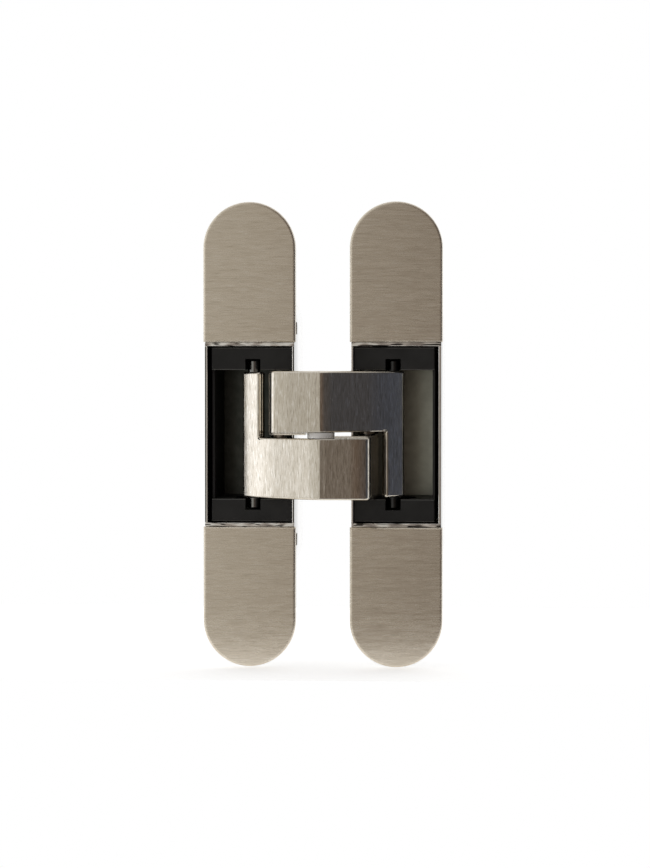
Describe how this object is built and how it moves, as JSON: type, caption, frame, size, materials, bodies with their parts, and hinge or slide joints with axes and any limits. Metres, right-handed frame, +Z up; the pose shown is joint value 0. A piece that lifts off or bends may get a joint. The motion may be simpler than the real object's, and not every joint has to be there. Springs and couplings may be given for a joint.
{
  "type": "concealed door hinge",
  "caption": "Concealed hinge with two mortised leaves, clip-on satin caps and a pair of crossing arms on sliding pins.",
  "frame": {"origin": "middle of the frame leaf's fixing holes, on the back of its flange; the faces of both leaves are at y = -6.6 mm", "axes": "+X from the frame leaf to the open door leaf, +Y into the wood, +Z up along the leaves"},
  "size_m": [0.0607, 0.0359, 0.118],
  "materials": {
    "cap": "warm satin nickel, brushed across the leaf",
    "arm": "warm satin nickel, brushed along the pins",
    "housing": "bright nickel-plated die casting",
    "carriage": "matt black moulding",
    "pin": "ground steel",
    "screw": "zinc-plated steel",
    "washer": "light grey low-friction plastic"
  },
  "bodies": {
    "frame_leaf": {"frame_housing": "housing", "frame_top_cap": "cap", "frame_bottom_cap": "cap", "frame_top_clamp_screw": "screw", "frame_bottom_clamp_screw": "screw"},
    "frame_slide": {"frame_carriage": "carriage", "frame_pivot_pin": "pin", "frame_pivot_sleeve": "washer"},
    "upper_link": {"upper_arm": "arm", "upper_slide_pin": "pin", "centre_pin": "pin"},
    "lower_link": {"lower_arm": "arm", "lower_slide_pin": "pin", "centre_washer": "washer"},
    "door_slide": {"door_carriage": "carriage", "door_pivot_pin": "pin", "door_pivot_sleeve": "washer"},
    "door_leaf": {"door_housing": "housing", "door_top_cap": "cap", "door_bottom_cap": "cap", "door_top_clamp_screw": "screw", "door_bottom_clamp_screw": "screw"}
  },
  "joints": [
    {"name": "frame_lateral", "type": "slide", "parent": "frame_leaf", "child": "frame_slide", "axis": [1, 0, 0], "range_m": [-0.0009, 0]},
    {"name": "frame_pivot", "type": "hinge", "parent": "frame_slide", "child": "upper_link", "pos_m": [0.00765, -0.0001, 0], "axis": [0, 0, -1], "range_deg": [0, 101.44]},
    {"name": "centre_pivot", "type": "hinge", "parent": "upper_link", "child": "lower_link", "pos_m": [0.01865, -0.0116, 0], "axis": [0, 0, -1], "range_deg": [-22.89, 0]},
    {"name": "door_pivot", "type": "hinge", "parent": "lower_link", "child": "door_slide", "pos_m": [0.02965, -0.0001, 0], "axis": [0, 0, -1], "range_deg": [0, 101.44]},
    {"name": "door_lateral", "type": "slide", "parent": "door_slide", "child": "door_leaf", "axis": [1, 0, 0], "range_m": [-0.0009, 0]}
  ],
  "couplings": [
    {"joint": "centre_pivot", "follows": "frame_pivot", "ratio": -0.22559},
    {"joint": "door_pivot", "follows": "frame_pivot", "ratio": 1}
  ]
}
